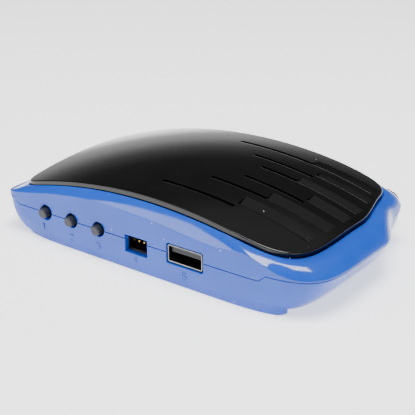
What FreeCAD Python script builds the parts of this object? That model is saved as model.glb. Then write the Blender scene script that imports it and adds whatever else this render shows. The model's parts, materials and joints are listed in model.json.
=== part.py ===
import FreeCAD, Part
import math
import os

V = FreeCAD.Vector
os.makedirs("parts", exist_ok=True)

# ---------------------------------------------------------------- dimensions
# case plan: long side along X, button side at -Y, aerial side at +Y
CASE_A = 64.2            # half length at the parting line
CASE_B = 37.5            # half width
PLAN_NX = 8.0            # bow of the long sides and corner roundness
PLAN_NY = 6.0
WALL = 2.0
FLOOR_Z = 1.8            # underside of the bottom plate
FLOOR_T = 1.5
SEAM_END_Z = 12.6        # parting line round the two ends
SEAM_LONG_Z = 10.5       # parting line along the two long sides
SEAM_GAP = 0.22
RUNNER_B = 3.6           # width of the two runners under the long walls

# arched black cover
DOME_Z0 = 28.03
DOME_X0 = -0.78
DOME_A2 = 6.67
DOME_A3 = 0.35
DOME_A4 = 0.35
DOME_BY = 2.10
DOME_B4 = 0.18
COVER_A = 55.15
COVER_B = 34.3
COVER_NY = 4.2
COVER_T = 2.2
COVER_BAND = 1.45        # height of cover edge that stands above the bezel
COVER_GAP = 0.45
DECK_T = 1.6

# push buttons
BUTTON_X = (-41.4, -29.6, -17.8)
BUTTON_Z = 10.5
BUTTON_R = 1.75
BUTTON_HOLE_R = 2.45
BUTTON_TIP_Y = -39.3
BUTTON_TRAVEL = 0.30
SWITCH_FACE_Y = -33.6
SWITCH_W = 6.0
SWITCH_H = 7.2
SWITCH_D = 4.0

# sockets on the button side
USB_X = 17.3
USB_Z = 10.2
USB_W = 13.2
USB_H = 5.7
USB_CUT_W = 14.1
USB_CUT_H = 6.6
USB_D = 13.8
DATA_X = -2.0
DATA_Z = 8.9
DATA_CUT_W = 9.0
DATA_CUT_H = 5.7

# sockets on the aerial side
F_X = 42.9
F_Z = 7.8
F_R = 4.76
F_TIP_Y = 45.3
HDMI_X = 12.0
HDMI_Z = 9.2
AV_X = -10.0
IR_X = -25.0
JACK_Z = 9.6
JACK_R = 1.8
DC_X = -42.0
DC_Z = 9.6

# circuit board
PCB_TOP = 6.0
PCB_T = 1.6
PCB_HX = 53.5
PCB_HY = 33.9
PCB_SCREW = ((-47.8, -24.5), (47.5, -25.0), (-49.3, 20.0), (26.0, 22.0))
CASE_SCREW = ((-50.0, -12.0), (-50.0, 8.0), (49.0, -10.0), (28.0, 30.5))

# the model is centred on its outermost points in Y
DY = -(F_TIP_Y + BUTTON_TIP_Y) / 2.0

# shoulder height along X
SHOULDER = [(-64.2, 13.7), (-60, 13.9), (-53.5, 14.8), (-44.7, 16.6), (-39.1, 17.7),
            (-33.5, 18.6), (-28.1, 19.3), (-22.8, 19.8), (-17.6, 20.0), (-12.5, 20.05),
            (-7.5, 19.9), (-2.6, 19.65), (2.3, 19.4), (7.0, 19.0), (11.7, 18.4),
            (16.3, 17.8), (20.9, 17.35), (25.4, 17.05), (28.6, 16.95), (31.0, 17.1),
            (34.1, 17.65), (37.3, 18.0), (40.0, 17.75), (43.0, 17.0), (45.5, 16.0),
            (48.0, 14.9), (51.0, 13.9), (54.5, 13.3), (58.0, 13.1), (64.2, 13.05)]


def interp(table, x):
    if x <= table[0][0]:
        return table[0][1]
    for (x0, y0), (x1, y1) in zip(table, table[1:]):
        if x <= x1:
            t = (x - x0) / (x1 - x0)
            return y0 + (y1 - y0) * t
    return table[-1][1]


def dome(x, y):
    u = (x - DOME_X0) / 50.0
    v = y / 30.0
    return (DOME_Z0 - DOME_A2 * u * u - DOME_A3 * u ** 3 - DOME_A4 * u ** 4
            - (DOME_BY + DOME_B4 * u * u) * v * v)


def radius(phi, al, ar, b, nx, ny):
    c, s = math.cos(phi), math.sin(phi)
    a = ar if c >= 0 else al
    lo, hi = 0.0, 200.0
    for _ in range(60):
        m = 0.5 * (lo + hi)
        if abs(m * c / a) ** nx + abs(m * s / b) ** ny > 1.0:
            hi = m
        else:
            lo = m
    return lo


def even_angles(n):
    fine = []
    for i in range(2000):
        p = 2 * math.pi * i / 2000
        r = radius(p, CASE_A, CASE_A, CASE_B, PLAN_NX, PLAN_NY)
        fine.append((p, r * math.cos(p), r * math.sin(p)))
    acc = [0.0]
    for i in range(2000):
        q0, q1 = fine[i], fine[(i + 1) % 2000]
        acc.append(acc[-1] + math.hypot(q1[1] - q0[1], q1[2] - q0[2]))
    out = []
    j = 0
    for k in range(n):
        t = acc[-1] * k / n
        while acc[j + 1] < t:
            j += 1
        f = (t - acc[j]) / (acc[j + 1] - acc[j])
        out.append(fine[j][0] + f * 2 * math.pi / 2000)
    return out


PHI = even_angles(84)


def ring(al, ar, b, zf, nx=PLAN_NX, ny=PLAN_NY):
    pts = []
    for p in PHI:
        r = radius(p, al, ar, b, nx, ny)
        x, y = r * math.cos(p), r * math.sin(p)
        pts.append((x, y, zf(x, y)))
    return pts


def wire(pts):
    c = Part.BSplineCurve()
    c.interpolate([V(*p) for p in pts], PeriodicFlag=True)
    return Part.Wire([c.toShape()])


def smooth01(t):
    t = max(0.0, min(1.0, t))
    return t * t * (3 - 2 * t)


def bezel_mid(low, high, f, right, left, side):
    out = []
    for p, q in zip(low, high):
        x = p[0] + (q[0] - p[0]) * f
        y = p[1] + (q[1] - p[1]) * f
        z = p[2] + (q[2] - p[2]) * f
        # how much this point belongs to the right end, the left end or a long side
        wr = smooth01((p[0] - 44.0) / 16.0)
        wl = smooth01((-p[0] - 56.0) / 8.0)
        amount = right * wr + left * wl + side * (1 - wr) * (1 - wl)
        hx, hy = p[0] - q[0], p[1] - q[1]
        run = math.hypot(hx, hy) or 1.0
        rise = q[2] - p[2]
        length = math.hypot(run, rise)
        nx, ny, nz = hx / run * rise / length, hy / run * rise / length, run / length
        k = amount * 4 * f * (1 - f)
        out.append((x + nx * k, y + ny * k, z + nz * k))
    return out


def stack(groups):
    """One closed solid from groups of rings; a crease lies between groups."""
    faces = []
    wires = {}

    def w(pts):
        key = id(pts)
        if key not in wires:
            wires[key] = wire(pts)
        return wires[key]

    for g in groups:
        loft = Part.makeLoft([w(r) for r in g], False, len(g) == 2)
        faces += loft.Faces
    faces.append(Part.Face(w(groups[0][0])))
    faces.append(Part.Face(w(groups[-1][-1])))
    compound = Part.makeCompound(faces)
    compound.sewShape(0.01)
    shell = compound.Shells[0] if compound.Shells else Part.Shell(faces)
    s = Part.Solid(shell)
    if s.Volume < 0:
        s.reverse()
    return s


def dome_face(dz):
    xs = [-72 + 6.0 * i for i in range(25)]
    ys = [-45 + 6.0 * j for j in range(16)]
    grid = [[V(x, y, dome(x, y) + dz) for y in ys] for x in xs]
    surf = Part.BSplineSurface()
    surf.interpolate(grid)
    return surf.toShape()


def below(dz):
    return dome_face(dz).extrude(V(0, 0, -70))


def above(dz):
    return dome_face(dz).extrude(V(0, 0, 45))


def prism(al, ar, b, z0, z1, ny=COVER_NY, nx=PLAN_NX):
    f = Part.Face(wire(ring(al, ar, b, lambda x, y: z0, nx, ny)))
    return f.extrude(V(0, 0, z1 - z0))


def box(x0, x1, y0, y1, z0, z1):
    return Part.makeBox(x1 - x0, y1 - y0, z1 - z0, V(x0, y0, z0))


def cyl(r, p, d, length):
    return Part.makeCylinder(r, length, V(*p), V(*d))


def fuse(first, *rest):
    out = first
    for r in rest:
        out = out.fuse(r)
    return out.removeSplitter()


def filleted(shape, r, test):
    edges = [e for e in shape.Edges if test(e)]
    if not edges:
        return shape
    try:
        s = shape.makeFillet(r, edges)
        if s.isValid() and s.Solids:
            return s
    except Exception:
        pass
    return shape


def save(name, shape):
    s = shape.copy()
    s.translate(V(0, DY, 0))
    solids = s.Solids
    if len(solids) == 1:
        s = solids[0]
    else:
        s = Part.makeCompound(solids)
    ok = all(q.isValid() and q.isClosed() for q in solids) and solids
    bb = s.BoundBox
    print("%-22s %d solid(s) vol %9.2f %s  x %.2f %.2f y %.2f %.2f z %.2f %.2f" % (
        name, len(solids), s.Volume, "ok" if ok else "BAD",
        bb.XMin, bb.XMax, bb.YMin, bb.YMax, bb.ZMin, bb.ZMax))
    s.exportStep("parts/%s.step" % name)


# ---------------------------------------------------------------- case envelope
def shoulder(x, y):
    return sum(w * interp(SHOULDER, x + d) for w, d in ((0.25, -2.0), (0.5, 0.0), (0.25, 2.0)))


def rim_z(x, y):
    return dome(x, y) - COVER_BAND


def outer_envelope():
    r_floor = ring(55.2, 56.2, CASE_B - 0.25, lambda x, y: FLOOR_Z)
    r_low = ring(58.6, 58.6, CASE_B - 0.1, lambda x, y: 4.0)
    r_mid = ring(61.9, 61.6, CASE_B, lambda x, y: 7.6)
    r_seam = ring(CASE_A, CASE_A, CASE_B, lambda x, y: SEAM_END_Z)
    r_sh = ring(CASE_A, CASE_A, CASE_B, shoulder)
    r_rim = ring(COVER_A + 0.3, COVER_A + 0.3, COVER_B + 0.25, rim_z, PLAN_NX, COVER_NY)
    r_m1 = bezel_mid(r_sh, r_rim, 0.33, 1.9, -1.1, 0.25)
    r_m2 = bezel_mid(r_sh, r_rim, 0.66, 1.9, -1.1, 0.25)
    r_top = ring(COVER_A + 0.3, COVER_A + 0.3, COVER_B + 0.25, lambda x, y: 34.0, PLAN_NX, COVER_NY)
    return stack([[r_floor, r_low, r_mid, r_seam], [r_seam, r_sh],
                  [r_sh, r_m1, r_m2, r_rim], [r_rim, r_top]])


def inner_envelope():
    t = WALL
    r_floor = ring(54.4, 54.8, CASE_B - t - 0.5, lambda x, y: FLOOR_Z + FLOOR_T)
    r_mid = ring(59.4, 59.2, CASE_B - t, lambda x, y: 7.4)
    r_seam = ring(CASE_A - t, CASE_A - t, CASE_B - t, lambda x, y: SEAM_END_Z - 0.2)
    r_sh = ring(CASE_A - t - 0.9, CASE_A - t - 0.5, CASE_B - t, lambda x, y: shoulder(x, y) - 1.0)
    r_rim = ring(COVER_A - 2.6, COVER_A - 2.2, COVER_B - 2.0,
                 lambda x, y: rim_z(x, y) - 2.0, PLAN_NX, COVER_NY)
    r_top = ring(COVER_A - 2.6, COVER_A - 2.2, COVER_B - 2.0, lambda x, y: 34.0, PLAN_NX, COVER_NY)
    return stack([[r_floor, r_mid, r_seam], [r_seam, r_sh], [r_sh, r_rim], [r_rim, r_top]])


def runner(side):
    """Skid under one long wall, its left end swept up and its right end rounded."""
    p = [V(-58.4, 0, 6.5), V(-57.0, 0, 2.9), V(-54.3, 0, 0.75), V(-49.5, 0, 0.0)]
    c = Part.BSplineCurve()
    c.interpolate(p)
    e = [c.toShape(),
         Part.makeLine(p[-1], V(50.2, 0, 0)),
         Part.makeLine(V(50.2, 0, 0), V(53.2, 0, 2.6)),
         Part.makeLine(V(53.2, 0, 2.6), V(54.6, 0, 6.5)),
         Part.makeLine(V(54.6, 0, 6.5), p[0])]
    face = Part.Face(Part.Wire(e))
    side_prism = face.extrude(V(0, 90, 0))
    side_prism.translate(V(0, -45, 0))
    outer = Part.Face(wire(ring(60.0, 54.4, CASE_B - 0.2, lambda x, y: 0.0, 8.0, 6.0))).extrude(V(0, 0, 6.4))
    inner = Part.Face(wire(ring(70.0, 70.0, CASE_B - RUNNER_B, lambda x, y: -0.1, 8.0, 6.0))).extrude(V(0, 0, 7))
    band = outer.cut(inner)
    half = box(-80, 80, -50, 0, -1, 10) if side < 0 else box(-80, 80, 0, 50, -1, 10)
    return band.common(half).common(side_prism)


def parting(dz=0.0):
    """Everything above the parting line, stepped down along the two long sides."""
    zc, zl = SEAM_END_Z + dz, SEAM_LONG_Z + dz
    left = Part.Arc(V(-56.0, 0, zc), V(-55.2, 0, zl + 0.72), V(-52.6, 0, zl)).toShape()
    e = [Part.makeLine(V(-80, 0, zc), V(-56.0, 0, zc)), left,
         Part.makeLine(V(-52.6, 0, zl), V(44.3, 0, zl)),
         Part.makeLine(V(44.3, 0, zl), V(46.6, 0, zc)),
         Part.makeLine(V(46.6, 0, zc), V(80, 0, zc)),
         Part.makeLine(V(80, 0, zc), V(80, 0, 60)),
         Part.makeLine(V(80, 0, 60), V(-80, 0, 60)),
         Part.makeLine(V(-80, 0, 60), V(-80, 0, zc))]
    s = Part.Face(Part.Wire(e)).extrude(V(0, 120, 0))
    s.translate(V(0, -60, 0))
    return s


outer = outer_envelope()
inner = inner_envelope()
outer = outer.common(below(-COVER_BAND))
inner = inner.common(below(-COVER_T - DECK_T))
split = parting()

# cover pocket above the deck
pocket = prism(COVER_A + COVER_GAP, COVER_A + COVER_GAP, COVER_B + COVER_GAP, 5, 40).common(above(-COVER_T))
whole = outer.cut(pocket)

top_case = whole.common(split).cut(inner)
bottom_case = outer.cut(split).fuse(runner(-1)).fuse(runner(1)).cut(inner)

# visible parting groove: the outer part of the lower wall stops a little short
groove_core = stack([[ring(CASE_A - 1.0, CASE_A - 1.0, CASE_B - 1.0, lambda x, y: 5.0),
                      ring(CASE_A - 1.0, CASE_A - 1.0, CASE_B - 1.0, lambda x, y: 20.0)]])
groove = parting(-SEAM_GAP).cut(split).cut(groove_core)
bottom_case = bottom_case.cut(groove)

# ---------------------------------------------------------------- openings in the walls
cuts = []
for bx in BUTTON_X:
    cuts.append(cyl(BUTTON_HOLE_R, (bx, -45, BUTTON_Z), (0, 1, 0), 12))
usb_cut = box(USB_X - USB_CUT_W / 2, USB_X + USB_CUT_W / 2, -45, -33,
              USB_Z - USB_CUT_H / 2, USB_Z + USB_CUT_H / 2)
usb_cut = usb_cut.makeFillet(0.6, [e for e in usb_cut.Edges if abs(e.BoundBox.YLength - 12) < 0.01])
cuts.append(usb_cut)
cuts.append(box(DATA_X - DATA_CUT_W / 2, DATA_X + DATA_CUT_W / 2, -45, -33,
                DATA_Z - DATA_CUT_H / 2, DATA_Z + DATA_CUT_H / 2))
cuts.append(cyl(F_R + 0.35, (F_X, 30, F_Z), (0, 1, 0), 15))
hd_w, hd_h = 15.2, 5.7
hdmi_cut = box(HDMI_X - hd_w / 2, HDMI_X + hd_w / 2, 33, 45, HDMI_Z - hd_h / 2, HDMI_Z + hd_h / 2)
cuts.append(hdmi_cut)
cuts.append(cyl(3.15, (AV_X, 33, JACK_Z), (0, 1, 0), 12))
cuts.append(cyl(3.15, (IR_X, 33, JACK_Z), (0, 1, 0), 12))
cuts.append(cyl(4.2, (DC_X, 33, DC_Z), (0, 1, 0), 12))
for c in cuts:
    top_case = top_case.cut(c)
    bottom_case = bottom_case.cut(c)

# vent slots through the floor
floor_top = FLOOR_Z + FLOOR_T
for i in range(7):
    x = -18.0 + 6.0 * i
    s = box(x - 0.9, x + 0.9, -12, 12, 0, floor_top + 0.5)
    bottom_case = bottom_case.cut(s)
# bosses that carry the board and take the case screws
SCREW_R = 1.15
for (x, y) in PCB_SCREW:
    boss = cyl(3.0, (x, y, floor_top - 0.4), (0, 0, 1), PCB_TOP - PCB_T - floor_top + 0.4)
    bottom_case = bottom_case.fuse(boss)
    bottom_case = bottom_case.cut(cyl(SCREW_R - 0.1, (x, y, 2.2), (0, 0, 1), 4))
CASE_SEAT = 3.6
for (x, y) in CASE_SCREW:
    roof = dome(x, y) - COVER_T - 0.6
    bottom_case = bottom_case.fuse(cyl(3.2, (x, y, floor_top - 0.5), (0, 0, 1), 7.0 - floor_top + 0.5))
    bottom_case = bottom_case.cut(cyl(2.3, (x, y, -1), (0, 0, 1), CASE_SEAT + 1))
    bottom_case = bottom_case.cut(cyl(1.35, (x, y, 0), (0, 0, 1), 9))
    post = cyl(2.9, (x, y, 7.0), (0, 0, 1), roof - 7.0)
    top_case = top_case.fuse(post).cut(cyl(1.05, (x, y, 6), (0, 0, 1), 8.2))

save("bottom_case", bottom_case)
save("top_case", top_case)

# ---------------------------------------------------------------- black cover
cover = prism(COVER_A, COVER_A, COVER_B, 5, 40).common(below(0)).common(above(-COVER_T))
# stepped slots: x start, x step, near edge before and after the step, x end
SLOTS = [
    (-1.8, 25.5, -23.4, -20.6, 51.2),
    (9.5, 30.0, -12.9, -12.3, 52.3),
    (17.0, 39.0, -5.4, -2.9, 52.9),
    (16.8, 30.0, 4.6, 4.8, 53.0),
    (9.0, 31.6, 11.9, 14.6, 52.4),
    (-3.4, 25.4, 21.6, 22.0, 50.9),
]
SLOT_W = 0.85
SLOT_DEPTH = 0.8
SLOT_WIDE = 4.2


def slot_tool(x0, xs, ya, yb, x1):
    """Narrow groove, then a wider one with a floor that rises away from its near edge."""
    top = dome_face(0)
    narrow = box(x0, xs + 0.3, ya, ya + SLOT_W, 10, 40).common(above(-SLOT_DEPTH))
    n = 7
    wires = []
    for i in range(n):
        x = xs + (x1 - xs) * i / (n - 1.0)
        z = dome(x, yb)
        zf = dome(x, yb + SLOT_WIDE)
        pts = [V(x, yb, z - SLOT_DEPTH), V(x, yb + SLOT_WIDE, zf + 0.02),
               V(x, yb + SLOT_WIDE, zf + 3), V(x, yb, z + 3)]
        wires.append(Part.makePolygon(pts + [pts[0]]))
    wide = Part.makeLoft(wires, True, False)
    return narrow, wide


for s in SLOTS:
    a, b = slot_tool(*s)
    for tool in (a, b):
        c = cover.cut(tool)
        if c.isValid() and c.Solids:
            cover = c
save("cover", cover)

# ---------------------------------------------------------------- circuit board
pcb_bot = PCB_TOP - PCB_T
pcb = prism(PCB_HX, PCB_HX, PCB_HY, pcb_bot, PCB_TOP, 6.0)
pcb = pcb.cut(box(F_X - 6.4, F_X + 6.4, 27.4, 40, 0, 20))
for (x, y) in PCB_SCREW:
    pcb = pcb.cut(cyl(1.4, (x, y, 0), (0, 0, 1), 20))
for (x, y) in CASE_SCREW:
    pcb = pcb.cut(cyl(3.9, (x, y, 0), (0, 0, 1), 20))
# slots that take the tabs of the two shielded sockets
for sx in (-1, 1):
    tab_x = USB_X + sx * (USB_W / 2 - 0.175)
    pcb = pcb.cut(box(tab_x - 0.45, tab_x + 0.45, -30.4, -27.3, 0, 20))
    tab_x = HDMI_X + sx * 7.12
    pcb = pcb.cut(box(tab_x - 0.45, tab_x + 0.45, 27.7, 30.3, 0, 20))
save("circuit_board", pcb)


def screw(x, y, z_seat, d, shank, r=1.0, head_r=2.0, head_h=1.4):
    """Pan-head screw; d = -1 goes down from the seat, +1 goes up."""
    s = cyl(r, (x, y, z_seat), (0, 0, d), shank)
    h = cyl(head_r, (x, y, z_seat), (0, 0, -d), head_h)
    top = z_seat - d * head_h
    slot = fuse(box(x - 1.1, x + 1.1, y - 0.22, y + 0.22, min(top, top + d * 0.7), max(top, top + d * 0.7)),
                box(x - 0.22, x + 0.22, y - 1.1, y + 1.1, min(top, top + d * 0.7), max(top, top + d * 0.7)))
    h = filleted(h, 0.45, lambda e: e.BoundBox.ZLength < 0.01 and abs(e.BoundBox.ZMin - top) < 0.01)
    return s.fuse(h).removeSplitter().cut(slot)


save("board_screws", Part.makeCompound([screw(x, y, PCB_TOP, -1, 3.4) for (x, y) in PCB_SCREW]))
save("case_screws", Part.makeCompound([screw(x, y, CASE_SEAT, 1, 9.0) for (x, y) in CASE_SCREW]))

# ---------------------------------------------------------------- push switches
names = ("power", "channel_down", "channel_up")
domes = []
for name, bx in zip(names, BUTTON_X):
    y0 = SWITCH_FACE_Y
    body = box(bx - SWITCH_W / 2, bx + SWITCH_W / 2, y0, y0 + SWITCH_D, PCB_TOP, PCB_TOP + 1.0 + SWITCH_H)
    body = body.cut(cyl(BUTTON_R + 0.06, (bx, y0 - 1, BUTTON_Z), (0, 1, 0), 1 + 0.8))
    body = body.cut(cyl(2.6, (bx, y0 + 0.8, BUTTON_Z), (0, 1, 0), 2.0))
    save(name + "_switch", body)
    stem = cyl(BUTTON_R, (bx, BUTTON_TIP_Y, BUTTON_Z), (0, 1, 0), y0 + 0.85 - BUTTON_TIP_Y)
    stem = filleted(stem, 0.01, lambda e: False)
    edge = [e for e in stem.Edges if abs(e.BoundBox.YMin - BUTTON_TIP_Y) < 0.01 and e.BoundBox.YLength < 0.01]
    stem = stem.makeChamfer(0.35, edge)
    flange = cyl(2.3, (bx, y0 + 0.85, BUTTON_Z), (0, 1, 0), 0.75)
    save(name + "_button", stem.fuse(flange).removeSplitter())
    domes.append(cyl(2.3, (bx, y0 + 2.5, BUTTON_Z), (0, 1, 0), 0.3).cut(cyl(0.5, (bx, y0 + 2.4, BUTTON_Z), (0, 1, 0), 0.6)))
save("switch_contact_domes", Part.makeCompound(domes))

# ---------------------------------------------------------------- USB socket
uy0 = -37.05
shell = box(USB_X - USB_W / 2, USB_X + USB_W / 2, uy0, uy0 + USB_D, USB_Z - USB_H / 2, USB_Z + USB_H / 2)
shell = shell.makeFillet(0.7, [e for e in shell.Edges if abs(e.BoundBox.YLength - USB_D) < 0.01])
hollow = box(USB_X - USB_W / 2 + 0.35, USB_X + USB_W / 2 - 0.35, uy0 - 1, uy0 + USB_D - 0.35,
             USB_Z - USB_H / 2 + 0.35, USB_Z + USB_H / 2 - 0.35)
hollow = hollow.makeFillet(0.4, [e for e in hollow.Edges if abs(e.BoundBox.YLength - USB_D - 0.65) < 0.01])
shell = shell.cut(hollow)
for sx in (-1, 1):
    shell = shell.fuse(box(USB_X + sx * (USB_W / 2 - 0.175) - 0.175, USB_X + sx * (USB_W / 2 - 0.175) + 0.175,
                           uy0 + 7.0, uy0 + 9.4, PCB_TOP - 1.2, USB_Z - USB_H / 2 + 1.0))
save("usb_shell", shell.removeSplitter())
tongue = box(USB_X - 5.6, USB_X + 5.6, uy0 + 0.9, uy0 + USB_D - 4.6, USB_Z + 0.35, USB_Z + 2.2)
back = box(USB_X - USB_W / 2 + 0.55, USB_X + USB_W / 2 - 0.55, uy0 + USB_D - 4.6, uy0 + USB_D - 0.36,
           USB_Z - USB_H / 2 + 0.55, USB_Z + USB_H / 2 - 0.55)
usb_ins = fuse(tongue, back)
leads = []
for i in range(4):
    cx = USB_X + (-3.5, -1.0, 1.0, 3.5)[i]
    groove_b = box(cx - 0.5, cx + 0.5, uy0 + 1.4, uy0 + USB_D - 4.6, USB_Z + 0.35, USB_Z + 0.55)
    usb_ins = usb_ins.cut(groove_b)
    leads.append(box(cx - 0.5, cx + 0.5, uy0 + 1.4, uy0 + USB_D - 4.6, USB_Z + 0.30, USB_Z + 0.55))
save("usb_insulator", usb_ins)
save("usb_contacts", Part.makeCompound(leads))
usb_base = box(USB_X - 6.2, USB_X + 6.2, uy0 + 2.4, uy0 + USB_D - 0.5, PCB_TOP, USB_Z - USB_H / 2)
save("usb_base", usb_base)

# ---------------------------------------------------------------- four-pin data socket
dy0 = -35.45
dw, dh, dd = 10.6, 5.7, 7.6
dz0 = PCB_TOP
data = box(DATA_X - dw / 2, DATA_X + dw / 2, dy0, dy0 + dd, dz0, DATA_Z + DATA_CUT_H / 2 + 0.5)
data = data.cut(box(DATA_X - dw / 2 + 0.85, DATA_X + dw / 2 - 0.85, dy0 - 1, dy0 + 5.6,
                    dz0 + 0.75, DATA_Z + DATA_CUT_H / 2 - 0.3))
save("data_socket", data)
pins = []
for i in range(4):
    px = DATA_X + (i - 1.5) * 2.0
    pz = DATA_Z + 0.35
    pin = box(px - 0.25, px + 0.25, dy0 + 1.0, dy0 + 5.6, pz - 0.25, pz + 0.25)
    pins.append(pin)
save("data_pins", Part.makeCompound(pins))

# ---------------------------------------------------------------- HDMI socket
hy1 = 37.0
hs = box(HDMI_X - 7.3, HDMI_X + 7.3, hy1 - 12, hy1, HDMI_Z - 2.6, HDMI_Z + 2.6)
hs = hs.makeChamfer(1.3, [e for e in hs.Edges if abs(e.BoundBox.YLength - 12) < 0.01 and e.BoundBox.ZMin < HDMI_Z - 2])
hh = box(HDMI_X - 6.95, HDMI_X + 6.95, hy1 - 11.6, hy1 + 1, HDMI_Z - 2.25, HDMI_Z + 2.25)
hh = hh.makeChamfer(1.25, [e for e in hh.Edges if abs(e.BoundBox.YLength - 12.6) < 0.01 and e.BoundBox.ZMin < HDMI_Z - 2])
hdmi_shell = hs.cut(hh)
for sx in (-1, 1):
    hdmi_shell = hdmi_shell.fuse(box(HDMI_X + sx * 7.12 - 0.17, HDMI_X + sx * 7.12 + 0.17, hy1 - 9, hy1 - 7,
                                     PCB_TOP - 1.2, HDMI_Z - 1.0))
save("hdmi_shell", hdmi_shell.removeSplitter())
hdmi_ins = fuse(box(HDMI_X - 5.4, HDMI_X + 5.4, hy1 - 8.4, hy1 - 0.8, HDMI_Z - 0.3, HDMI_Z + 0.9),
                box(HDMI_X - 6.9, HDMI_X + 6.9, hy1 - 11.55, hy1 - 8.4, HDMI_Z - 0.95, HDMI_Z + 2.2))
save("hdmi_insulator", hdmi_ins)
save("hdmi_base", box(HDMI_X - 5.4, HDMI_X + 5.4, hy1 - 11.5, hy1 - 3.0, PCB_TOP, HDMI_Z - 2.6))


# ---------------------------------------------------------------- round jacks
def audio_jack(x):
    y1 = 37.3
    body = box(x - 3.6, x + 3.6, 22.8, 34.9, PCB_TOP, JACK_Z + 3.2)
    nose = cyl(2.95, (x, 34.9, JACK_Z), (0, 1, 0), y1 - 34.9)
    b = fuse(body, nose).cut(cyl(JACK_R, (x, 24.0, JACK_Z), (0, 1, 0), 20))
    return b


save("av_jack", audio_jack(AV_X))
save("remote_eye_jack", audio_jack(IR_X))
dc_body = fuse(box(DC_X - 4.5, DC_X + 4.5, 21.4, 34.3, PCB_TOP, DC_Z + 4.4),
               cyl(3.55, (DC_X, 34.3, DC_Z), (0, 1, 0), 2.9)).cut(cyl(2.9, (DC_X, 26.0, DC_Z), (0, 1, 0), 20))
save("power_jack", dc_body)
dc_pin = cyl(1.0, (DC_X, 26.0, DC_Z), (0, 1, 0), 9.2)
dc_pin = filleted(dc_pin, 0.5, lambda e: abs(e.BoundBox.YMin - 35.2) < 0.01 and e.BoundBox.YLength < 0.01)
save("power_jack_pin", dc_pin)

# ---------------------------------------------------------------- aerial connector and tuner
fcon = cyl(F_R, (F_X, 37.8, F_Z), (0, 1, 0), F_TIP_Y - 37.8)
fcon = fcon.makeChamfer(0.3, [e for e in fcon.Edges if abs(e.BoundBox.YMin - F_TIP_Y) < 0.01])
fcon = fcon.fuse(cyl(F_R - 0.26, (F_X, 32.0, F_Z), (0, 1, 0), 6.0))
fcon = fcon.fuse(box(F_X - 5.2, F_X + 5.2, 27.8, 32.4, F_Z - 3.6, F_Z + 5.2))
fcon = fcon.cut(cyl(3.55, (F_X, 36.0, F_Z), (0, 1, 0), 20)).cut(cyl(1.9, (F_X, 20, F_Z), (0, 1, 0), 30))
save("aerial_connector", fcon.removeSplitter())
ins = fuse(cyl(3.5, (F_X, 36.0, F_Z), (0, 1, 0), F_TIP_Y - 0.45 - 36.0), cyl(1.85, (F_X, 28.0, F_Z), (0, 1, 0), 8.0))
ins = ins.cut(cyl(0.9, (F_X, 20, F_Z), (0, 1, 0), 40))
save("aerial_insulator", ins)
clip = cyl(0.85, (F_X, 27.9, F_Z), (0, 1, 0), F_TIP_Y - 2.2 - 27.9).cut(cyl(0.5, (F_X, 30.5, F_Z), (0, 1, 0), 30))
save("aerial_contact", clip)

tx0, tx1, ty0, ty1, tz1 = F_X - 13.0, F_X + 6.4, 3.0, 27.0, PCB_TOP + 6.4
can = box(tx0, tx1, ty0, ty1, PCB_TOP, tz1).cut(box(tx0 + 0.4, tx1 - 0.4, ty0 + 0.4, ty1 - 0.4, PCB_TOP - 1, tz1 + 1))
save("tuner_can", can)
lid = box(tx0, tx1, ty0, ty1, tz1, tz1 + 0.4)
for i in range(3):
    for j in range(3):
        lid = lid.cut(cyl(1.0, (tx0 + 4.7 + 5.0 * i, ty0 + 7 + 5.0 * j, tz1 - 1), (0, 0, 1), 3))
save("tuner_lid", lid)
save("tuner_chip", box(tx0 + 6, tx0 + 12, ty0 + 9, ty0 + 15, PCB_TOP, PCB_TOP + 1.0))

# ---------------------------------------------------------------- chips and small parts
save("main_chip", box(-4, 14, -14, 4, PCB_TOP, PCB_TOP + 1.5))
save("thermal_pad", box(-4, 14, -14, 4, PCB_TOP + 1.5, PCB_TOP + 2.0))
sink = box(-6, 16, -16, 6, PCB_TOP + 2.0, PCB_TOP + 9.0)
for i in range(6):
    x = -4.2 + 3.4 * i
    sink = sink.cut(box(x - 0.2, x + 1.7, -20, 10, PCB_TOP + 3.6, PCB_TOP + 12))
save("heat_sink", sink)
save("memory_chip", box(-22, -13.5, -14, -1, PCB_TOP, PCB_TOP + 1.2))
save("flash_chip", box(-22, -16.8, 4, 9.3, PCB_TOP, PCB_TOP + 1.8))
caps = []
for (x, y, r, h) in ((-36, 6, 3.15, 9.0), (-36, 14, 3.15, 9.0), (-28, 12, 2.5, 7.0), (26, -20, 2.5, 7.0), (32, -20, 2.5, 7.0)):
    c = cyl(r, (x, y, PCB_TOP), (0, 0, 1), h)
    caps.append(c.makeFillet(0.4, [e for e in c.Edges if abs(e.BoundBox.ZMin - PCB_TOP - h) < 0.01]))
save("capacitors", Part.makeCompound(caps))
coils = []
for (x, y) in ((-44, 8), (-44, -4), (-34, -6)):
    coils.append(filleted(box(x - 2.5, x + 2.5, y - 2.5, y + 2.5, PCB_TOP, PCB_TOP + 3.0), 0.8,
                          lambda e: abs(e.BoundBox.ZLength - 3.0) < 0.01))
save("inductors", Part.makeCompound(coils))
xt = box(18, 29, -9, -4.4, PCB_TOP, PCB_TOP + 3.5)
xt = filleted(xt, 2.2, lambda e: abs(e.BoundBox.ZLength - 3.5) < 0.01)
save("crystal", xt)
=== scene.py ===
import json
import math

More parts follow.
